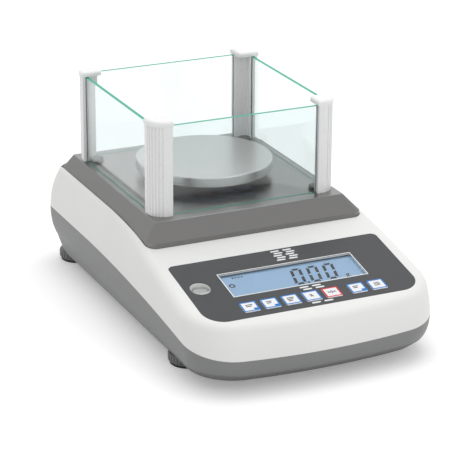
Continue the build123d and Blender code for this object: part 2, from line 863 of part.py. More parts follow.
# Weighing pan: a spun steel dish turned over, with a locating ring under it
with BuildPart() as weighing_pan:
    with BuildSketch(Plane.XZ.offset(-pan_y)):
        with BuildLine() as rim_line:
            Polyline(
                (0, pan_top),
                (pan_radius, pan_top),
                (pan_radius, pan_top - pan_rim),
                (pan_radius - pan_sheet, pan_top - pan_rim),
                (pan_radius - pan_sheet, pan_top - pan_sheet),
                (0, pan_top - pan_sheet),
                close=True,
            )
            fillet(rim_line.vertices().sort_by_distance((pan_radius, pan_top))[0], radius=pan_edge_radius)
        make_face()
        with Locations((pan_ring_radius + pan_ring_wall / 2, pan_top - pan_sheet - pan_ring_depth / 2)):
            Rectangle(pan_ring_wall, pan_ring_depth)
    revolve(axis=Axis((0, pan_y, 0), (0, 0, 1)))
save(weighing_pan, "weighing_pan")

# Pan support: a carrier off the load cell's free end, a spindle and a four-armed spider
pan_underside = pan_top - pan_sheet
spider_top = spider_bottom + spider_thickness
pan_pad_bottom = pan_underside - pan_pad_height
with BuildPart() as pan_support:
    carrier_length = pan_y + carrier_width / 2 - cell_front_y
    with BuildSketch(Plane.XY.offset(carrier_bottom)):
        with Locations((0, cell_front_y + carrier_length / 2)):
            RectangleRounded(carrier_width, carrier_length, spindle_radius)
    extrude(amount=carrier_thickness)
    with BuildSketch(Plane.XY.offset(cell_top + weigh_gap)):
        with Locations((0, cell_front_y + cell_end_block / 2)):
            RectangleRounded(carrier_width, cell_end_block, spindle_radius / 2)
    extrude(amount=carrier_bottom - cell_top - weigh_gap)
    with BuildSketch(Plane.XY.offset(carrier_bottom + carrier_thickness)):
        with Locations((0, pan_y)):
            Circle(spindle_flange_radius)
    extrude(amount=spindle_flange)
    with BuildSketch(Plane.XY.offset(carrier_bottom + carrier_thickness)):
        with Locations((0, pan_y)):
            Circle(spindle_radius)
    extrude(amount=spider_bottom - carrier_bottom - carrier_thickness)
    with BuildSketch(Plane.XY.offset(spider_bottom)):
        with Locations((0, pan_y)):
            Circle(spider_hub_radius)
            SlotCenterToCenter(2 * spider_arm_reach, spider_arm_width, rotation=45)
            SlotCenterToCenter(2 * spider_arm_reach, spider_arm_width, rotation=-45)
    extrude(amount=spider_thickness)
    with BuildSketch(Plane.XY.offset(spider_top)):
        with Locations((0, pan_y)):
            Circle(pan_ring_radius - pan_ring_clearance)
    extrude(amount=pan_underside - spider_boss_gap - spider_top)
    with BuildSketch(Plane.XY.offset(spider_top)):
        with Locations((0, pan_y)):
            with PolarLocations(spider_arm_reach, 4, start_angle=45):
                Circle(spider_pad_radius)
    extrude(amount=pan_pad_bottom - spider_top)
save(pan_support, "pan_support")

# Rubber pads that the pan rests on
with BuildPart() as pan_pads:
    with BuildSketch(Plane.XY.offset(pan_pad_bottom)):
        with Locations((0, pan_y)):
            with PolarLocations(spider_arm_reach, 4, start_angle=45):
                Circle(pan_pad_radius)
    extrude(amount=pan_pad_height)
save(pan_pads, "pan_pads")

# Load cell: an aluminium beam with two joined bores that leave thin bending webs
with BuildPart() as weighing_cell:
    with BuildSketch(Plane.YZ):
        with Locations((pan_y, (cell_bottom + cell_top) / 2)):
            Rectangle(cell_length, cell_height)
            with Locations((-cell_bore_spacing / 2, 0), (cell_bore_spacing / 2, 0)):
                Circle(cell_bore_radius, mode=Mode.SUBTRACT)
            Rectangle(cell_bore_spacing, cell_web_slot, mode=Mode.SUBTRACT)
    extrude(amount=cell_width / 2, both=True)
    with BuildSketch(Plane.XY.offset(cell_bottom)):
        with Locations((0, cell_back_y - cell_mount_length / 2)):
            with GridLocations(0, cell_screw_spacing, 1, 2):
                Circle(cell_screw_radius)
    extrude(amount=cell_height / 2, mode=Mode.SUBTRACT)
save(weighing_cell, "weighing_cell")

# Cell mount: a box section that stands on the floor under the cell's fixed end
with BuildPart() as cell_mount:
    with BuildSketch(Plane.XZ.offset(-cell_back_y)):
        with Locations((0, (floor_top + cell_bottom) / 2)):
            Rectangle(cell_mount_width, cell_bottom - floor_top)
            Rectangle(
                cell_mount_width - 2 * cell_mount_rib,
                cell_bottom - floor_top - 2 * cell_mount_rib,
                mode=Mode.SUBTRACT,
            )
    extrude(amount=cell_mount_length)
    with BuildSketch(Plane.XY.offset(cell_bottom)):
        with Locations((0, cell_back_y - cell_mount_length / 2)):
            with GridLocations(0, cell_screw_spacing, 1, 2):
                Circle(cell_screw_radius + screw_clearance)
    extrude(amount=-cell_mount_rib, mode=Mode.SUBTRACT)
save(cell_mount, "cell_mount")

# Cell screws, up through the mount into the cell
with BuildPart() as cell_screws:
    with BuildSketch(Plane.XY.offset(cell_bottom - cell_mount_rib)):
        with Locations((0, cell_back_y - cell_mount_length / 2)):
            with GridLocations(0, cell_screw_spacing, 1, 2):
                RegularPolygon(cell_screw_head_radius, 6)
    extrude(amount=-cell_screw_head)
    with BuildSketch(Plane.XY.offset(cell_bottom - cell_mount_rib)):
        with Locations((0, cell_back_y - cell_mount_length / 2)):
            with GridLocations(0, cell_screw_spacing, 1, 2):
                Circle(cell_screw_radius)
    extrude(amount=cell_mount_rib + cell_height / 2)
save(cell_screws, "cell_screws")

# Overload stop: a post with an adjusting screw just under the cell's free end
with BuildPart() as overload_stop:
    with BuildSketch(Plane.XY.offset(floor_top)):
        with Locations((0, cell_front_y + cell_end_block / 2)):
            Circle(stop_post_radius)
    extrude(amount=stop_post_height)
    with BuildSketch(Plane.XY.offset(floor_top + stop_post_height)):
        with Locations((0, cell_front_y + cell_end_block / 2)):
            Circle(stop_screw_radius)
    extrude(amount=cell_bottom - stop_gap - floor_top - stop_post_height)
save(overload_stop, "overload_stop")

# Panel overlay: a thin printed sheet in its shallow recess
with BuildPart() as front_overlay:
    with BuildSketch(panel):
        add(overlay_outline(0))
        add(window_outline(window_gap), mode=Mode.SUBTRACT)
        for x in key_positions:
            add(key_outline(x, key_gap), mode=Mode.SUBTRACT)
    extrude(amount=-overlay_thickness)
    with BuildSketch(Plane.XY.offset(level_seat)):
        with Locations((level_x, level_y)):
            Circle(level_bore_radius)
    extrude(amount=deck_height - level_seat, mode=Mode.SUBTRACT)
save(front_overlay, "front_overlay")

# Display window
with BuildPart() as display_window:
    with BuildSketch(panel):
        add(window_outline(0))
    extrude(amount=-housing_wall)
save(display_window, "display_window")

# Display module with its sunk viewing area, and the liquid crystal cell that lies in it
with BuildPart() as lcd_module:
    with BuildSketch(panel.offset(-housing_wall)):
        with Locations((0, -window_down)):
            Rectangle(display_width, display_height)
    extrude(amount=-display_thickness)
    with BuildSketch(panel.offset(-housing_wall)):
        add(window_outline(lcd_margin))
    extrude(amount=-display_view_depth, mode=Mode.SUBTRACT)
save(lcd_module, "lcd_module")

with BuildPart() as lcd_panel:
    with BuildSketch(panel.offset(-housing_wall - display_view_depth)):
        add(window_outline(lcd_margin))
    extrude(amount=lcd_thickness)
save(lcd_panel, "lcd_panel")

# Display board behind the module, with the key switches on it
with BuildPart() as display_board:
    with BuildSketch(panel.offset(-display_back)):
        with Locations((display_board_x, -(display_board_top + display_board_bottom) / 2)):
            Rectangle(display_board_width, display_board_bottom - display_board_top)
        with Locations(*display_pillar_spots):
            Circle(board_screw_radius + screw_clearance, mode=Mode.SUBTRACT)
    extrude(amount=-board_thickness)
save(display_board, "display_board")

with BuildPart() as display_board_screws:
    with BuildSketch(panel.offset(-display_back - board_thickness)):
        with Locations(*display_pillar_spots):
            Circle(board_screw_head_radius)
    extrude(amount=-board_screw_head)
    with BuildSketch(panel.offset(-display_back - board_thickness)):
        with Locations(*display_pillar_spots):
            Circle(board_screw_radius)
    extrude(amount=board_thickness + board_screw_length)
save(display_board_screws, "display_board_screws")

plunger_top = -(housing_wall + key_flange_gap + key_flange_thickness + key_stem + switch_gap)
with BuildPart() as key_switches:
    with BuildSketch(panel.offset(-display_back)):
        with Locations(*((x, -key_down) for x in key_positions)):
            Rectangle(switch_size, switch_size)
    extrude(amount=switch_body)
    with BuildSketch(panel.offset(-display_back + switch_body)):
        with Locations(*((x, -key_down) for x in key_positions)):
            Circle(switch_plunger_radius)
    extrude(amount=plunger_top + display_back - switch_body)
save(key_switches, "key_switches")

# Keys: each a cap with a retaining flange under the wall and a short stem over its switch
for name, x in zip(key_names, key_positions):
    with BuildPart() as key:
        with BuildSketch(panel.offset(key_proud)):
            add(key_outline(x, 0))
        extrude(amount=-(key_proud + housing_wall + key_flange_gap))
        with BuildSketch(panel.offset(-housing_wall - key_flange_gap)):
            add(key_outline(x, key_flange))
        extrude(amount=-key_flange_thickness)
        with BuildSketch(panel.offset(-housing_wall - key_flange_gap - key_flange_thickness)):
            with Locations((x, -key_down)):
                Circle(key_stem_radius)
        extrude(amount=-key_stem)
    save(key, name)

# Bubble level: a metal cup seated under its boss, and the vial in it
with BuildPart() as level_cup:
    with BuildSketch(Plane.XY.offset(level_cup_top)):
        with Locations((level_x, level_y)):
            Circle(level_bore_radius - level_gap)
    extrude(amount=-level_cup_height)
    with BuildSketch(Plane.XY.offset(level_seat)):
        with Locations((level_x, level_y)):
            Circle(level_boss_radius)
    extrude(amount=-level_flange)
    with BuildSketch(Plane.XY.offset(level_cup_top)):
        with Locations((level_x, level_y)):
            Circle(level_vial_radius + level_vial_gap)
    extrude(amount=-(level_vial_height + level_vial_sunk), mode=Mode.SUBTRACT)
save(level_cup, "level_cup")

with BuildPart() as level_vial:
    with BuildSketch(Plane.XY.offset(level_cup_top - level_vial_sunk)):
        with Locations((level_x, level_y)):
            Circle(level_vial_radius)
    extrude(amount=-level_vial_height)
    fillet(level_vial.edges().group_by(Axis.Z)[-1], radius=level_vial_edge_radius)
save(level_vial, "level_vial")

# Levelling feet: a rubber-soled pad, and a knurled wheel on a stud that turns in a brass insert
for name, (x, y) in foot_spots.items():
    with BuildPart() as foot_pad:
        with BuildSketch(Plane.XY):
            with Locations((x, y)):
                Circle(foot_pad_radius)
        extrude(amount=foot_pad_thickness)
        with BuildSketch(Plane.XY.offset(foot_pad_thickness)):
            with Locations((x, y)):
                Circle(foot_pin_radius)
        extrude(amount=foot_pin_height)
    save(foot_pad, f"foot_pad_{name}")

    with BuildPart() as foot_wheel:
        with BuildSketch(Plane.XY.offset(foot_wheel_bottom)):
            with Locations((x, y)):
                Circle(foot_wheel_radius)
        extrude(amount=foot_wheel_top - foot_wheel_bottom)
        chamfer(foot_wheel.edges(), length=foot_wheel_bevel)
        with BuildSketch(Plane.XY.offset(foot_wheel_bottom)):
            with Locations((x, y)):
                with PolarLocations(foot_wheel_radius, foot_grip_count):
                    Circle(foot_grip_radius)
        extrude(amount=foot_wheel_top - foot_wheel_bottom, mode=Mode.SUBTRACT)
        with BuildSketch(Plane.XY.offset(foot_wheel_bottom)):
            with Locations((x, y)):
                Circle(foot_pin_radius + foot_pin_gap)
        extrude(amount=foot_pin_height + foot_pin_gap - foot_running_gap, mode=Mode.SUBTRACT)
        with BuildSketch(Plane.XY.offset(foot_wheel_top)):
            with Locations((x, y)):
                Circle(foot_stud_radius)
        extrude(amount=foot_stud_length)
    save(foot_wheel, f"foot_wheel_{name}")

with BuildPart() as foot_inserts:
    with BuildSketch(Plane.XY.offset(floor_top)):
        with Locations(*foot_spots.values()):
            Circle(foot_insert_radius)
            Circle(foot_stud_radius + foot_bore_clearance, mode=Mode.SUBTRACT)
    extrude(amount=foot_insert_length)
save(foot_inserts, "foot_inserts")

# Screws that join the two mouldings
with BuildPart() as housing_screws:
    for x, y, top in lower_boss_spots:
        with BuildSketch(Plane.XY.offset(screw_roof)):
            with Locations((x, y)):
                Circle(joint_screw_head_radius)
        extrude(amount=-joint_screw_head)
        with BuildSketch(Plane.XY.offset(screw_roof)):
            with Locations((x, y)):
                Circle(joint_screw_radius)
        extrude(amount=top + joint_screw_reach - screw_roof)
save(housing_screws, "housing_screws")

# Main board on its pillars, with its chips and connector header
with BuildPart() as main_board:
    with BuildSketch(Plane.XY.offset(main_board_height)):
        with Locations((0, main_board_y)):
            Rectangle(main_board_width, main_board_depth)
        with Locations(*main_pillar_spots):
            Circle(board_screw_radius + screw_clearance, mode=Mode.SUBTRACT)
    extrude(amount=board_thickness)
    with BuildSketch(Plane.XY.offset(main_board_height + board_thickness)):
        with Locations((0, main_board_y - chip_size)):
            with GridLocations(chip_pitch, 0, chip_count, 1):
                Rectangle(chip_size, chip_size)
    extrude(amount=chip_height)
    with BuildSketch(Plane.XY.offset(main_board_height + board_thickness)):
        with Locations((0, main_board_y + main_board_depth / 2 - header_width)):
            Rectangle(header_length, header_width)
    extrude(amount=header_height)
save(main_board, "main_board")

with BuildPart() as main_board_screws:
    with BuildSketch(Plane.XY.offset(main_board_height + board_thickness)):
        with Locations(*main_pillar_spots):
            Circle(board_screw_head_radius)
    extrude(amount=board_screw_head)
    with BuildSketch(Plane.XY.offset(main_board_height + board_thickness)):
        with Locations(*main_pillar_spots):
            Circle(board_screw_radius)
    extrude(amount=-(board_thickness + board_screw_length))
save(main_board_screws, "main_board_screws")

# Power inlet: a round barrel with a centre pin, through the recess wall
recess_back = Plane.XZ.offset(recess_wall - recess_face_y)
inlet_front = Plane.XZ.offset(-recess_face_y - inlet_proud)
with BuildPart() as power_jack:
    with BuildSketch(recess_back):
        with Locations((inlet_x, inlet_height)):
            Rectangle(inlet_body_width, inlet_body_height)
    extrude(amount=inlet_body_length)
    with BuildSketch(recess_back):
        with Locations((inlet_x, inlet_height)):
            Circle(inlet_barrel_radius)
    extrude(amount=-(recess_wall + inlet_proud))
    with BuildSketch(inlet_front):
        with Locations((inlet_x, inlet_height)):
            Circle(inlet_bore_radius)
            Circle(inlet_pin_radius, mode=Mode.SUBTRACT)
    extrude(amount=inlet_bore_depth, mode=Mode.SUBTRACT)
save(power_jack, "power_jack")

# Data connector: a flanged shell with a slanted outline between two threaded posts
with BuildPart() as data_connector:
    with BuildSketch(Plane.XZ.offset(-recess_face_y)):
        with Locations((data_x, data_height)):
            RectangleRounded(data_flange_width, data_flange_height, data_shell_radius)
    extrude(amount=-data_flange)
    with BuildSketch(Plane.XZ.offset(-recess_face_y)):
        with Locations((data_x, data_height)):
            Rectangle(data_body_width, data_body_height)
    extrude(amount=data_body_length)
    with BuildSketch(Plane.XZ.offset(-recess_face_y - data_flange)) as shell:
        with Locations((data_x, data_height - data_shell_height / 2)):
            Trapezoid(
                data_shell_width,
                data_shell_height,
                90 + data_shell_slant,
                align=(Align.CENTER, Align.MIN),
            )
        fillet(shell.vertices(), radius=data_shell_radius)
    extrude(amount=-data_shell_proud)
    with BuildSketch(Plane.XZ.offset(-recess_face_y - data_flange)):
        with Locations((data_x, data_height)):
            with GridLocations(data_post_spacing, 0, 2, 1):
                RegularPolygon(data_post_radius, 6)
    extrude(amount=-data_post_length)
    with BuildSketch(Plane.XZ.offset(-recess_face_y - data_flange - data_post_length)):
        with Locations((data_x, data_height)):
            with GridLocations(data_post_spacing, 0, 2, 1):
                Circle(data_post_bore)
    extrude(amount=data_post_bore_depth, mode=Mode.SUBTRACT)
save(data_connector, "data_connector")

# Plug of the hole for weighing below the balance
with BuildPart() as underfloor_plug:
    with BuildSketch(Plane.XY.offset(underside_height)):
        with Locations((0, pan_y)):
            Circle(hatch_radius + hatch_flange)
    extrude(amount=hatch_flange_thickness)
    with BuildSketch(Plane.XY.offset(underside_height)):
        with Locations((0, pan_y)):
            Circle(hatch_radius)
    extrude(amount=housing_wall)
    with BuildSketch(Plane.XY.offset(underside_height)):
        with Locations((0, pan_y)):
            SlotOverall(hatch_slot_length, hatch_slot_width)
    extrude(amount=hatch_flange_thickness / 2, mode=Mode.SUBTRACT)
save(underfloor_plug, "underfloor_plug")
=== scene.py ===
import json
from math import acos, cos, pi, radians, sin

import bmesh
import bpy
from mathutils import Matrix, Vector


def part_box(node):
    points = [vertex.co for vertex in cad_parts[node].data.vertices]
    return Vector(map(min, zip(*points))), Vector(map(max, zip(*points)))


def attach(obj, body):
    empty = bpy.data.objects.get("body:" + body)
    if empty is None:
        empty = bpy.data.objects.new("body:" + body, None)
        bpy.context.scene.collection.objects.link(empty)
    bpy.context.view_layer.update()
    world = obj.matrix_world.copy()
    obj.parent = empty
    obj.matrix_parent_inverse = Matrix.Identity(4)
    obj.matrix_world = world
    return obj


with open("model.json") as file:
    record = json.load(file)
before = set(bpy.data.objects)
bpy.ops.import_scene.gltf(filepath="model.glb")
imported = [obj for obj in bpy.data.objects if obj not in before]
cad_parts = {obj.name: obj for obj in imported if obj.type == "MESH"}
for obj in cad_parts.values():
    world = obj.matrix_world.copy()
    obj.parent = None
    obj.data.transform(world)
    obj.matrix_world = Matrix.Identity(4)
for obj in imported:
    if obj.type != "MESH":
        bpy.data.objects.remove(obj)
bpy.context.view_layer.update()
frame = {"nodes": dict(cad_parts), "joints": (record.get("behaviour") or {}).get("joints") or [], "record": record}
MM = 0.001

# Printed layer, in millimetres: how thick it is, and how far it stands off what it lies on
print_thickness = 0.04
panel_print_lift = 0.01
display_print_lift = 0.02
text_lift = 0.05
key_print_lift = 0.52

# Lettering: how much its strokes are thickened, as a share of its size, and its line spacing
text_weight = 0.02
text_line_space = 0.85

# Display: window line, three digits, unit, stability ring and a row of ticks, in millimetres
frame_line = 0.8
frame_gap = 0.2
digit_height = 21.5
digit_width = 9.6
digit_stroke = 2.5
digit_gap = 0.35
digit_slant = radians(11)
digit_count = 3
digit_left = -2.4
digit_pitch = 14.0
digit_down = 48.3
point_size = 2.0
point_back = 3.6
unit_x, unit_middle, unit_text = 43.5, 46.0, 7.8
ring_x, ring_down, ring_radius, ring_hole_radius = -51.0, 35.2, 2.6, 1.352
tick_left, tick_down, tick_height = -47.0, 24.8, 1.5
tick_pitch, tick_length, tick_count = 2.6, 1.5, 4

# Ladder of short bars in two columns, in millimetres
band_left = -3.5
band_bar, band_bar_length, band_pitch = 1.7, 7.6, 3.1
band_corner = 0.8458
band_column_pitch = 10.6
band_stagger = 1.6
band_end_gap = 2.0
band_key_gap_above = 0.6
band_key_gap_below = 1.0
band_bottom_gap = 1.5

# Print on the keys, in millimetres: rim, corner block, signs, words and plain lines
key_inset = 1.0
key_border = 1.15
key_block = 4.6
key_block_height = 3.45
key_sign_size = 4.4
key_words_size = 3.0
key_line_reach = 3.0
key_line_top = 2.4
key_line_pitch = 1.9
key_line_height = 0.9
key_line_step = 1.2

# Limits that the materials share, and the tones of the glass panes and their cut edges
noise_low, noise_high = 0.3, 0.7
# Share of tone kept where crease shade is painted
crease_shade_share = 0.45
# Facing range over which undersides get painted shade
underside_shade_from, underside_shade_to = -0.62, -0.42
# Facing range below which sloping metal faces get painted shade
slope_shade_from, slope_shade_to = 0.78, 0.96
pane_tint = (0.865, 0.915, 0.912)
pane_edge = (0.02, 0.40, 0.26)
pane_edge_roughness = 0.35
glass_edge_from = 0.7
# Depth of the painted shade along the display's upper edge
display_shade_depth = 4.2

# Floor in metres and its tone, and the strength of the surround
floor_reach = 4.0
floor_tone = (0.88, 0.88, 0.88)
floor_glow = 0.26
horizon_height, zenith_height = 0.1, 0.9
horizon_strength, zenith_strength = 0.50, 0.86

# Camera, as fitted to the photograph: angles, and distance, target, lens and sensor in millimetres
camera_azimuth = radians(-25.13)
camera_elevation = radians(20.86)
camera_roll = radians(0.40)
camera_distance = 1702.89
camera_target = Vector((9.545, 25.449, 59.311))
camera_lens = 157.67
camera_sensor = 36.0

# The panel plane, from the overlay's box and the direction that the keys travel in
key_axis = Vector(next(j["axis"] for j in frame["joints"] if j["name"] == "tare_key_press")).normalized()
normal = -key_axis
tilt = acos(normal.z)
down_slope = Vector((0, -cos(tilt), -sin(tilt)))
overlay_low, overlay_high = (Vector(corner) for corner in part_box("front_overlay"))
overlay_thickness = 0.5 * MM
panel_origin = Vector((0, overlay_high.y - overlay_thickness * sin(tilt), overlay_high.z))
overlay_length = (overlay_high.y - overlay_low.y) / cos(tilt)


def on_panel(x, down, lift=0.0):
    """Point in metres at x and down-slope distance on the panel, lifted off it, all in millimetres."""
    return panel_origin + Vector((x, 0, 0)) * MM + down_slope * down * MM + normal * lift * MM


def panel_box(node):
    """Left, top, right and bottom of a node that lies square on the panel, in panel millimetres."""
    low, high = (Vector(corner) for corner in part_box(node))
    along_y, along_z = high.y - low.y, high.z - low.z
    half = (along_y * cos(tilt) - along_z * sin(tilt)) / cos(2 * tilt) / 2 / MM
    centre = (low + high) / 2
    down = (centre - panel_origin).dot(down_slope) / MM
    return low.x / MM, down - half, high.x / MM, down + half


# Node helpers

def new_material(name, color, roughness, metallic=0.0):
    """A material with its principled shader set up, as (material, nodes, links, shader)."""
    material = bpy.data.materials.new(name)
    material.use_nodes = True
    nodes = material.node_tree.nodes
    links = material.node_tree.links
    shader = nodes["Principled BSDF"]
    shader.inputs["Base Color"].default_value = (*color, 1)
    shader.inputs["Roughness"].default_value = roughness
    shader.inputs["Metallic"].default_value = metallic
    return material, nodes, links, shader


def object_coordinates(nodes, links, stretch=(1, 1, 1)):
    """Object coordinates, stretched along each axis."""
    place = nodes.new("ShaderNodeTexCoord")
    mapping = nodes.new("ShaderNodeMapping")
    mapping.inputs["Scale"].default_value = stretch
    links.new(place.outputs["Object"], mapping.inputs["Vector"])
    return mapping.outputs["Vector"]


def noise(nodes, links, vector, scale, detail=3.0):
    """Noise value between 0 and 1."""
    texture = nodes.new("ShaderNodeTexNoise")
    texture.inputs["Scale"].default_value = scale
    texture.inputs["Detail"].default_value = detail
    links.new(vector, texture.inputs["Vector"])
    return texture.outputs["Fac"]


def ranged(nodes, links, value, from_low, from_high, to_low=0.0, to_high=1.0):
    """A value carried from one range to another, and held at its ends."""
    scale = nodes.new("ShaderNodeMapRange")
    scale.inputs["From Min"].default_value = from_low
    scale.inputs["From Max"].default_value = from_high
    scale.inputs["To Min"].default_value = to_low
    scale.inputs["To Max"].default_value = to_high
    links.new(value, scale.inputs["Value"])
    return scale.outputs["Result"]


def spread(nodes, links, value, low, high):
    """The middle of a noise value spread over low to high."""
    return ranged(nodes, links, value, noise_low, noise_high, low, high)


def facing_up(nodes, links):
    """How far a face looks up: 1 for a level top, 0 for an upright side, -1 for an underside."""
    facing = nodes.new("ShaderNodeNewGeometry")
    split = nodes.new("ShaderNodeSeparateXYZ")
    links.new(facing.outputs["Normal"], split.inputs["Vector"])
    return split.outputs["Z"]


def mix_color(nodes, links, factor, first, second):
    """Two colours mixed by a factor socket."""
    mix = nodes.new("ShaderNodeMix")
    mix.data_type = "RGBA"
    mix.inputs[6].default_value = (*first, 1)
    mix.inputs[7].default_value = (*second, 1)
    links.new(factor, mix.inputs["Factor"])
    return mix.outputs[2]


def add_bump(nodes, links, shader, height, distance, strength=1.0):
    """Bump from a height socket, its depth in metres."""
    bump = nodes.new("ShaderNodeBump")
    bump.inputs["Distance"].default_value = distance
    bump.inputs["Strength"].default_value = strength
    links.new(height, bump.inputs["Height"])
    links.new(bump.outputs["Normal"], shader.inputs["Normal"])


def shaded(nodes, links, factor, tone, dark):
    """A tone socket where the factor is 1, and a dark colour of painted shade where it is 0."""
    mixed = mix_color(nodes, links, factor, dark, dark)
    links.new(tone, mixed.node.inputs[7])
    return mixed


def tinted(color, share):
    """A colour made lighter or darker by a share."""
    return tuple(min(1.0, value * share) for value in color)


# Materials

def moulded_plastic(name, color, roughness, grain=900.0, depth=0.00006, wear=0.03, crease_shade_reach=0.0, underside_shade=1.0):
    """Moulded plastic with a fine grain, a faint change of tone, and painted shade in its creases and on its
    undersides.
    """
    material, nodes, links, shader = new_material(name, color, roughness)
    vector = object_coordinates(nodes, links)
    tone = noise(nodes, links, vector, 14.0)
    body_tone = mix_color(nodes, links, tone, tinted(color, 1 - wear), tinted(color, 1 + wear))
    # Painted shade: an occlusion mask darkens creases and grooves, such as the flutes of the posts.
    if crease_shade_reach:
        crease = nodes.new("ShaderNodeAmbientOcclusion")
        crease.samples = 8
        crease.only_local = True
        crease.inputs["Distance"].default_value = crease_shade_reach
        open_share = spread(nodes, links, crease.outputs["AO"], 0.0, 1.0)
        body_tone = shaded(nodes, links, open_share, body_tone, tinted(color, crease_shade_share))
    # Painted shade: faces that look down are darkened.
    if underside_shade < 1:
        level = ranged(nodes, links, facing_up(nodes, links), underside_shade_from, underside_shade_to)
        body_tone = shaded(nodes, links, level, body_tone, tinted(color, underside_shade))
    links.new(body_tone, shader.inputs["Base Color"])
    fine = noise(nodes, links, vector, grain, 2.0)
    links.new(spread(nodes, links, fine, roughness - 0.05, roughness + 0.06), shader.inputs["Roughness"])
    add_bump(nodes, links, shader, fine, depth, 0.5)
    return material


def brushed_metal(name, color, roughness, along, grain=40.0, depth=0.00002, spread_by=0.08, slope_shade=1.0):
    """Metal with fine brush lines that run along one axis, and painted shade on its sloping faces."""
    material, nodes, links, shader = new_material(name, color, roughness, 1.0)
    stretch = [grain, grain, grain]
    stretch[along] = 1.0
    vector = object_coordinates(nodes, links, stretch)
    lines = noise(nodes, links, vector, 30.0, 4.0)
    broad = noise(nodes, links, vector, 4.0, 2.0)
    tone = mix_color(nodes, links, broad, tinted(color, 0.96), tinted(color, 1.03))
    # Painted shade: faces that slope away from level are darkened.
    if slope_shade < 1:
        level = ranged(nodes, links, facing_up(nodes, links), slope_shade_from, slope_shade_to)
        tone = shaded(nodes, links, level, tone, tinted(color, slope_shade))
    links.new(tone, shader.inputs["Base Color"])
    rough = spread(nodes, links, lines, roughness - spread_by, roughness + spread_by)
    links.new(rough, shader.inputs["Roughness"])
    add_bump(nodes, links, shader, lines, depth, 0.6)
    return material


def turned_metal(name, color, roughness, centre, rings=900.0):
    """Metal with concentric brush marks about a vertical axis through centre."""
    material, nodes, links, shader = new_material(name, color, roughness, 1.0)
    place = nodes.new("ShaderNodeTexCoord")
    offset = nodes.new("ShaderNodeVectorMath")
    offset.operation = "SUBTRACT"
    offset.inputs[1].default_value = centre
    flat = nodes.new("ShaderNodeVectorMath")
    flat.operation = "MULTIPLY"
    flat.inputs[1].default_value = (1, 1, 0)
    length = nodes.new("ShaderNodeVectorMath")
    length.operation = "LENGTH"
    links.new(place.outputs["Object"], offset.inputs[0])
    links.new(offset.outputs["Vector"], flat.inputs[0])
    links.new(flat.outputs["Vector"], length.inputs[0])
    texture = nodes.new("ShaderNodeTexNoise")
    texture.noise_dimensions = "1D"
    texture.inputs["Scale"].default_value = rings
    texture.inputs["Detail"].default_value = 3.0
    links.new(length.outputs["Value"], texture.inputs["W"])
    lines = texture.outputs["Fac"]
    tone = mix_color(nodes, links, lines, tinted(color, 0.94), tinted(color, 1.05))
    links.new(tone, shader.inputs["Base Color"])
    links.new(spread(nodes, links, lines, roughness - 0.05, roughness + 0.07), shader.inputs["Roughness"])
    add_bump(nodes, links, shader, lines, 0.00001, 0.5)
    return material


def pane_glass(name):
    """Clear float glass with a faint tint, whose cut top edges look green."""
    material, nodes, links, shader = new_material(name, pane_tint, 0.0)
    shader.inputs["Transmission Weight"].default_value = 1.0
    shader.inputs["IOR"].default_value = 1.45
    on_top = nodes.new("ShaderNodeMath")
    on_top.operation = "GREATER_THAN"
    on_top.inputs[1].default_value = glass_edge_from
    links.new(facing_up(nodes, links), on_top.inputs[0])
    edge = on_top.outputs["Value"]
    links.new(mix_color(nodes, links, edge, pane_tint, pane_edge), shader.inputs["Base Color"])
    links.new(ranged(nodes, links, edge, 0, 1, 0, pane_edge_roughness), shader.inputs["Roughness"])
    links.new(ranged(nodes, links, edge, 0, 1, 1, 0), shader.inputs["Transmission Weight"])
    return material


def clear_cover(name):
    """Thin clear plastic with faint moulding haze."""
    material, nodes, links, shader = new_material(name, (1.0, 1.0, 1.0), 0.05)
    shader.inputs["Transmission Weight"].default_value = 1.0
    shader.inputs["IOR"].default_value = 1.12
    vector = object_coordinates(nodes, links)
    links.new(spread(nodes, links, noise(nodes, links, vector, 60.0), 0.02, 0.07), shader.inputs["Roughness"])
    return material


def lit_display(name, upper_y):
    """Backlit blue cell with painted shade along its upper edge where the frame shades it, and a faint glow that
    is partly backlight and partly painted light.
    """
    color = (0.235, 0.375, 0.55)
    material, nodes, links, shader = new_material(name, color, 0.35)
    place = nodes.new("ShaderNodeTexCoord")
    split = nodes.new("ShaderNodeSeparateXYZ")
    links.new(place.outputs["Object"], split.inputs["Vector"])
    # Painted shade: the cell darkens towards its upper edge.
    edge = ranged(nodes, links, split.outputs["Y"], upper_y - display_shade_depth * MM, upper_y)
    grain = noise(nodes, links, object_coordinates(nodes, links), 900.0, 1.0)
    shade = nodes.new("ShaderNodeMath")
    shade.operation = "MULTIPLY_ADD"
    shade.inputs[1].default_value = 0.06
    links.new(grain, shade.inputs[0])
    links.new(edge, shade.inputs[2])
    mixed = mix_color(nodes, links, shade.outputs["Value"], color, tinted(color, 0.18))
    links.new(mixed, shader.inputs["Base Color"])
    links.new(mixed, shader.inputs["Emission Color"])
    # Glow: partly backlight, partly painted light where the well shades the cell.
    shader.inputs["Emission Strength"].default_value = 0.10
    return material


def printed_film(name, color):
    """Dark printed film with a fine matt texture."""
    material, nodes, links, shader = new_material(name, color, 0.42)
    vector = object_coordinates(nodes, links)
    fine = noise(nodes, links, vector, 1600.0, 1.0)
    tone = mix_color(nodes, links, fine, tinted(color, 0.9), tinted(color, 1.1))
    links.new(tone, shader.inputs["Base Color"])
    add_bump(nodes, links, shader, fine, 0.00003, 0.4)
    return material


def ink(name, color, roughness=0.45):
    """Screen-printed ink with slight unevenness."""
    material, nodes, links, shader = new_material(name, color, roughness)
    vector = object_coordinates(nodes, links)
    patch = noise(nodes, links, vector, 500.0, 2.0)
    tone = mix_color(nodes, links, patch, tinted(color, 0.95), tinted(color, 1.03))
    links.new(tone, shader.inputs["Base Color"])
    return material


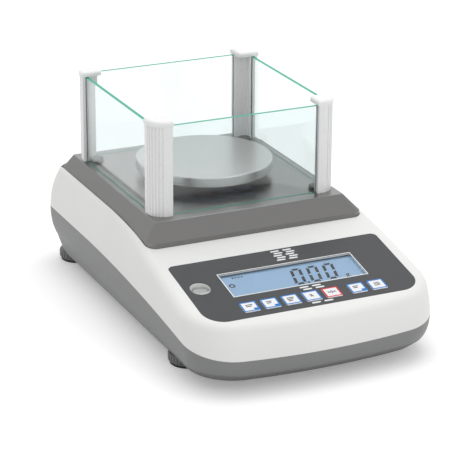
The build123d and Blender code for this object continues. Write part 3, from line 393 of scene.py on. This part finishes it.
def vial_liquid():
    """Clear vial with a faintly tinted liquid."""
    material, nodes, links, shader = new_material("vial_liquid", (0.93, 0.96, 0.90), 0.03)
    shader.inputs["Transmission Weight"].default_value = 0.55
    shader.inputs["IOR"].default_value = 1.35
    vector = object_coordinates(nodes, links)
    cloud = noise(nodes, links, vector, 120.0)
    tone = mix_color(nodes, links, cloud, (0.90, 0.91, 0.90), (0.95, 0.96, 0.95))
    links.new(tone, shader.inputs["Base Color"])
    return material


white_plastic = moulded_plastic("white_moulding", (0.84, 0.84, 0.825), 0.42)
# The posts carry painted shade in their flutes.
post_white = moulded_plastic("post_moulding", (0.90, 0.905, 0.90), 0.30, 500.0, 0.00002, 0.02, 0.0016)
# The grey lower housing carries painted shade on its undersides and bevel.
grey_plastic = moulded_plastic("grey_moulding", (0.218, 0.220, 0.222), 0.45, underside_shade=0.42)
key_white = moulded_plastic("key_moulding", (0.86, 0.87, 0.89), 0.35, 700.0, 0.00003, 0.02)
dark_plastic = moulded_plastic("dark_moulding", (0.035, 0.035, 0.037), 0.40)
foot_grey = moulded_plastic("foot_moulding", (0.17, 0.172, 0.175), 0.45)
rubber = moulded_plastic("rubber", (0.03, 0.03, 0.03), 0.75, 300.0, 0.0001)
green_board = moulded_plastic("solder_mask", (0.02, 0.12, 0.05), 0.35, 200.0)
# The cover's sloping skirts carry painted shade.
cover_steel = brushed_metal("cover_steel", (0.33, 0.325, 0.322), 0.30, 0, 60.0, 0.000003, 0.02, 0.62)
pan_steel = brushed_metal("pan_steel", (0.64, 0.635, 0.63), 0.30, 0, 60.0, 0.000003, 0.02)
plated_steel = brushed_metal("plated_steel", (0.50, 0.50, 0.51), 0.35, 2)
cell_metal = brushed_metal("cell_aluminium", (0.72, 0.73, 0.74), 0.40, 1)
connector_metal = brushed_metal("connector_plating", (0.55, 0.55, 0.56), 0.30, 0)
insert_brass = brushed_metal("insert_brass", (0.62, 0.45, 0.20), 0.35, 2)
level_centre = sum((Vector(corner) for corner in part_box("level_cup")), Vector()) / 2
level_metal = turned_metal("level_metal", (0.74, 0.75, 0.76), 0.22, level_centre)
glass = pane_glass("pane_glass")
window_clear = clear_cover("window_clear")
display_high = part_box("lcd_panel")[1]
display_blue = lit_display("display_blue", display_high[1])
module_white = moulded_plastic("module_frame", (0.62, 0.66, 0.70), 0.5)
overlay_film = printed_film("overlay_film", (0.050, 0.051, 0.055))
white_ink = ink("white_ink", (0.86, 0.87, 0.87))
black_ink = ink("black_ink", (0.008, 0.008, 0.010))
blue_ink = ink("blue_ink", (0.002, 0.19, 0.60))
red_ink = ink("red_ink", (0.72, 0.012, 0.03))
vial_material = vial_liquid()

dressing = {
    "lower_housing": grey_plastic,
    "upper_housing": white_plastic,
    "deck_cover": cover_steel,
    "weighing_pan": pan_steel,
    "front_overlay": overlay_film,
    "display_window": window_clear,
    "lcd_module": module_white,
    "lcd_panel": display_blue,
    "level_cup": level_metal,
    "level_vial": vial_material,
    "display_board": green_board,
    "main_board": green_board,
    "key_switches": dark_plastic,
    "display_board_screws": plated_steel,
    "main_board_screws": plated_steel,
    "housing_screws": plated_steel,
    "cell_screws": plated_steel,
    "post_screws": plated_steel,
    "weighing_cell": cell_metal,
    "pan_support": cell_metal,
    "cell_mount": plated_steel,
    "overload_stop": plated_steel,
    "pan_pads": rubber,
    "cover_knobs": dark_plastic,
    "foot_inserts": insert_brass,
    "power_jack": dark_plastic,
    "data_connector": connector_metal,
    "underfloor_plug": grey_plastic,
}
prefixes = {
    "shield_post": post_white,
    "post_cap": post_white,
    "foot_wheel": foot_grey,
    "foot_pad": rubber,
}
for node, piece in frame["nodes"].items():
    material = dressing.get(node)
    for prefix, shared in prefixes.items():
        if node.startswith(prefix):
            material = shared
    if node.endswith("_glass"):
        material = glass
    if node.endswith("_key"):
        material = key_white
    piece.data.materials.clear()
    piece.data.materials.append(material)


# Print on the panel: flat outlines a little above the surface that they lie on

def print_shape(name, outlines, lift, material, body):
    """A thin printed piece from outlines given as panel points, each a closed loop."""
    mesh = bpy.data.meshes.new(name)
    form = bmesh.new()
    for outline in outlines:
        low = [form.verts.new(on_panel(x, down, lift)) for x, down in outline]
        high = [form.verts.new(on_panel(x, down, lift + print_thickness)) for x, down in outline]
        form.faces.new(high)
        form.faces.new(list(reversed(low)))
        for first in range(len(outline)):
            second = (first + 1) % len(outline)
            form.faces.new((low[first], low[second], high[second], high[first]))
    bmesh.ops.recalc_face_normals(form, faces=form.faces)
    form.to_mesh(mesh)
    form.free()
    piece = bpy.data.objects.new(name, mesh)
    bpy.context.collection.objects.link(piece)
    mesh.materials.append(material)
    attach(piece, body)
    return piece


def rectangle(left, top, right, bottom):
    """Corners of a rectangle on the panel."""
    return [(left, top), (right, top), (right, bottom), (left, bottom)]


def rounded(left, top, right, bottom, radius, steps=5):
    """Corners of a rectangle with rounded corners."""
    points = []
    spots = [(right, top, -pi / 2), (right, bottom, 0), (left, bottom, pi / 2), (left, top, pi)]
    for x, down, start in spots:
        centre_x = x - radius if x == right else x + radius
        centre_down = down + radius if down == top else down - radius
        for step in range(steps + 1):
            angle = start + pi / 2 * step / steps
            points.append((centre_x + radius * cos(angle), centre_down + radius * sin(angle)))
    return points


def border(left, top, right, bottom, width):
    """A frame of four bars just inside a rectangle."""
    return [
        rectangle(left, top, right, top + width),
        rectangle(left, bottom - width, right, bottom),
        rectangle(left, top + width, left + width, bottom - width),
        rectangle(right - width, top + width, right, bottom - width),
    ]


def ring(x, down, outer, inner, steps=24):
    """A ring as a chain of short four-sided pieces."""
    pieces = []
    for step in range(steps):
        first, second = 2 * pi * step / steps, 2 * pi * (step + 1) / steps
        pieces.append([
            (x + outer * cos(first), down + outer * sin(first)),
            (x + outer * cos(second), down + outer * sin(second)),
            (x + inner * cos(second), down + inner * sin(second)),
            (x + inner * cos(first), down + inner * sin(first)),
        ])
    return pieces


def slanted(outline, base):
    """An outline leaned to the right about its base line."""
    return [(x + (base - down) * sin(digit_slant), down) for x, down in outline]


def zero_segments(left, base):
    """The six lit segments of a seven-segment zero, with small gaps between them."""
    half, gap = digit_stroke / 2, digit_gap
    right, top = left + digit_width, base - digit_height
    middle = (top + base) / 2
    segments = []
    for down, inward in ((top + half, 1), (base - half, -1)):
        segments.append([
            (left + half + gap, down - half * inward),
            (right - half - gap, down - half * inward),
            (right - digit_stroke - gap, down + half * inward),
            (left + digit_stroke + gap, down + half * inward),
        ])
    for x, inward in ((left, 1), (right, -1)):
        for upper, lower in ((top, middle), (middle, base)):
            outer_top = upper + (gap + half if upper == top else gap)
            outer_bottom = lower - (gap + half if lower == base else gap)
            inner_top = upper + (gap + digit_stroke if upper == top else half + gap)
            inner_bottom = lower - (gap + digit_stroke if lower == base else half + gap)
            segments.append([
                (x, outer_top),
                (x + digit_stroke * inward, inner_top),
                (x + digit_stroke * inward, inner_bottom),
                (x, outer_bottom),
            ])
    return [slanted(segment, base) for segment in segments]


def print_text(name, words, x, down, size, lift, material, body):
    """Plain lettering centred at a place on the panel, as a flat mesh."""
    curve = bpy.data.curves.new(name, "FONT")
    curve.body = words
    curve.size = size * MM
    curve.align_x = "CENTER"
    curve.align_y = "CENTER"
    curve.space_line = text_line_space
    curve.offset = text_weight * size * MM
    lettering = bpy.data.objects.new(name + "_outline", curve)
    bpy.context.collection.objects.link(lettering)
    bpy.context.view_layer.update()
    mesh = bpy.data.meshes.new_from_object(lettering)
    bpy.data.objects.remove(lettering)
    turn = Matrix((Vector((1, 0, 0)), -down_slope, normal)).transposed().to_4x4()
    mesh.transform(Matrix.Translation(on_panel(x, down, lift)) @ turn)
    mesh.name = name
    mesh.materials.clear()
    mesh.materials.append(material)
    piece = bpy.data.objects.new(name, mesh)
    bpy.context.collection.objects.link(piece)
    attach(piece, body)
    return piece


bodies = frame["record"]["behaviour"]["bodies"]
body_of_node = {node: body for body, held in bodies.items() for node in held}
housing = body_of_node["front_overlay"]
window_left, window_top, window_right, window_bottom = panel_box("display_window")

# Thin white line round the display window
print_shape(
    "window_line",
    border(
        window_left - frame_line - frame_gap,
        window_top - frame_line - frame_gap,
        window_right + frame_line + frame_gap,
        window_bottom + frame_line + frame_gap,
        frame_line,
    ),
    panel_print_lift,
    white_ink,
    housing,
)

# What the display shows
cell_surface = (Vector((0, display_high[1], display_high[2])) - panel_origin).dot(normal) / MM
display_lift = cell_surface + display_print_lift
digits = []
for count in range(digit_count):
    digits += zero_segments(digit_left + digit_pitch * count, digit_down)
point_left = digit_left + digit_pitch - point_back
point = rectangle(point_left, digit_down - point_size, point_left + point_size, digit_down)
digits.append(slanted(point, digit_down))
print_shape("display_digits", digits, display_lift, black_ink, housing)
stable_ring = ring(ring_x, ring_down, ring_radius, ring_hole_radius)
print_shape("display_ring", stable_ring, display_lift, black_ink, housing)
tick_lefts = [tick_left + tick_pitch * count for count in range(tick_count)]
ticks = [rectangle(left, tick_down, left + tick_length, tick_down + tick_height) for left in tick_lefts]
print_shape("display_ticks", ticks, display_lift, black_ink, housing)
print_text("display_unit", "g", unit_x, unit_middle, unit_text, cell_surface + text_lift, black_ink, housing)

# Plain ladder of short bars above and below the display
keys = [node for node in frame["nodes"] if node.endswith("_key")]
key_boxes = {node: panel_box(node) for node in keys}
key_top = min(box[1] for box in key_boxes.values())
key_bottom = max(box[3] for box in key_boxes.values())
stretches = [
    (band_end_gap, window_top - frame_line - band_end_gap),
    (window_bottom + frame_line + band_end_gap, key_top - band_key_gap_above),
    (key_bottom + band_key_gap_below, overlay_length / MM - band_bottom_gap),
]
bars = []
for start, stop in stretches:
    count = max(1, int((stop - start + band_pitch - band_bar) / band_pitch))
    for step in range(count):
        top = start + band_pitch * step
        for column in range(2):
            left = band_left + column * band_column_pitch + (band_stagger if step % 2 else 0)
            bars.append(rounded(left, top, left + band_bar_length, top + band_bar, band_corner))
print_shape("panel_bars", bars, panel_print_lift, white_ink, housing)

# Keys: coloured rim, a small corner block on three of them, and a plain mark on each
key_order = sorted(keys, key=lambda node: key_boxes[node][0])
tare_mark = ">0<"
marks = ["", "", "", "%", tare_mark, "", "ON\nOFF"]
blocks = {0, 1, 5}
for place, node in enumerate(key_order):
    body = body_of_node[node]
    left, top, right, bottom = key_boxes[node]
    left, top, right, bottom = left + key_inset, top + key_inset, right - key_inset, bottom - key_inset
    rim = red_ink if marks[place] == tare_mark else blue_ink
    print_shape(f"{node}_rim", border(left, top, right, bottom, key_border), key_print_lift, rim, body)
    if place in blocks:
        block_left, block_top = right - key_block, bottom - key_block_height
        block = rectangle(block_left, block_top, right - key_border, bottom - key_border)
        print_shape(f"{node}_block", [block], key_print_lift, rim, body)
    middle_x, middle = (left + right) / 2, (top + bottom) / 2
    if marks[place]:
        size = key_words_size if "\n" in marks[place] else key_sign_size
        lift = key_print_lift + text_lift
        print_text(f"{node}_mark", marks[place], middle_x, middle, size, lift, black_ink, body)
    else:
        lines = []
        for row in range(2 if place in blocks else 3):
            line_top = middle - key_line_top + key_line_pitch * row
            line_left = middle_x - key_line_reach
            line_right = middle_x + key_line_reach - key_line_step * (row + place % 2)
            lines.append(rectangle(line_left, line_top, line_right, line_top + key_line_height))
        print_shape(f"{node}_mark", lines, key_print_lift, black_ink, body)


# Floor, lamps, world and camera

def camera_share(nodes, links):
    """1 for rays that the camera, a gloss or a clear piece sends, and 0 for the rest."""
    path = nodes.new("ShaderNodeLightPath")
    total = path.outputs["Is Camera Ray"]
    for other in ("Is Glossy Ray", "Is Transmission Ray"):
        larger = nodes.new("ShaderNodeMath")
        larger.operation = "MAXIMUM"
        links.new(total, larger.inputs[0])
        links.new(path.outputs[other], larger.inputs[1])
        total = larger.outputs["Value"]
    return total


def make_floor():
    """Plain pale floor that keeps the shadow of the balance."""
    mesh = bpy.data.meshes.new("floor")
    corners = [(-1, -1), (1, -1), (1, 1), (-1, 1)]
    points = [(x * floor_reach, y * floor_reach, 0) for x, y in corners]
    mesh.from_pydata(points, [], [range(len(points))])
    floor = bpy.data.objects.new("floor", mesh)
    bpy.context.collection.objects.link(floor)
    material, nodes, links, shader = new_material("floor_paper", floor_tone, 0.9)
    shader.inputs["Specular IOR Level"].default_value = 0.0
    shader.inputs["Emission Color"].default_value = (1, 1, 1, 1)
    glow = nodes.new("ShaderNodeMath")
    glow.operation = "MULTIPLY"
    glow.inputs[1].default_value = floor_glow
    links.new(camera_share(nodes, links), glow.inputs[0])
    links.new(glow.outputs["Value"], shader.inputs["Emission Strength"])
    mesh.materials.append(material)


def make_world():
    """Studio surround, brighter overhead than at the horizon, and white where it is seen."""
    world = bpy.data.worlds.new("studio")
    bpy.context.scene.world = world
    world.use_nodes = True
    nodes, links = world.node_tree.nodes, world.node_tree.links
    background = nodes["Background"]
    place = nodes.new("ShaderNodeTexCoord")
    split = nodes.new("ShaderNodeSeparateXYZ")
    links.new(place.outputs["Generated"], split.inputs["Vector"])
    height = split.outputs["Z"]
    lit = ranged(nodes, links, height, horizon_height, zenith_height, horizon_strength, zenith_strength)
    shown = nodes.new("ShaderNodeMath")
    shown.operation = "MAXIMUM"
    links.new(lit, shown.inputs[0])
    links.new(camera_share(nodes, links), shown.inputs[1])
    links.new(shown.outputs["Value"], background.inputs["Strength"])
    background.inputs["Color"].default_value = (1, 1, 1, 1)


def add_lamp(name, place, aim, size, power):
    """A soft square lamp at a place, pointed at the object."""
    lamp = bpy.data.lights.new(name, "AREA")
    lamp.shape = "SQUARE"
    lamp.size = size
    lamp.energy = power
    holder = bpy.data.objects.new(name, lamp)
    bpy.context.collection.objects.link(holder)
    holder.location = place
    holder.visible_glossy = False
    holder.rotation_euler = (Vector(aim) - Vector(place)).to_track_quat("-Z", "Y").to_euler()


def make_camera():
    """The camera at the photograph's place."""
    back = Vector((
        sin(camera_azimuth) * cos(camera_elevation),
        -cos(camera_azimuth) * cos(camera_elevation),
        sin(camera_elevation),
    ))
    right = (-back).cross(Vector((0, 0, 1))).normalized()
    up = right.cross(-back)
    turned_right = right * cos(camera_roll) + up * sin(camera_roll)
    turned_up = up * cos(camera_roll) - right * sin(camera_roll)
    lens = bpy.data.cameras.new("camera")
    lens.lens = camera_lens
    lens.sensor_width = camera_sensor
    lens.sensor_fit = "HORIZONTAL"
    camera = bpy.data.objects.new("camera", lens)
    bpy.context.collection.objects.link(camera)
    turn = Matrix((turned_right, turned_up, back)).transposed().to_4x4()
    camera.matrix_world = Matrix.Translation((camera_target + back * camera_distance) * MM) @ turn
    bpy.context.scene.camera = camera


make_floor()
make_world()
add_lamp("overhead", (0.25, 0.35, 1.5), (0, 0, 0), 1.2, 8.0)
add_lamp("front_fill", (0.5, -1.6, 0.9), (0, 0, 0.05), 1.0, 3.0)
make_camera()
bpy.context.scene.view_settings.view_transform = "Standard"
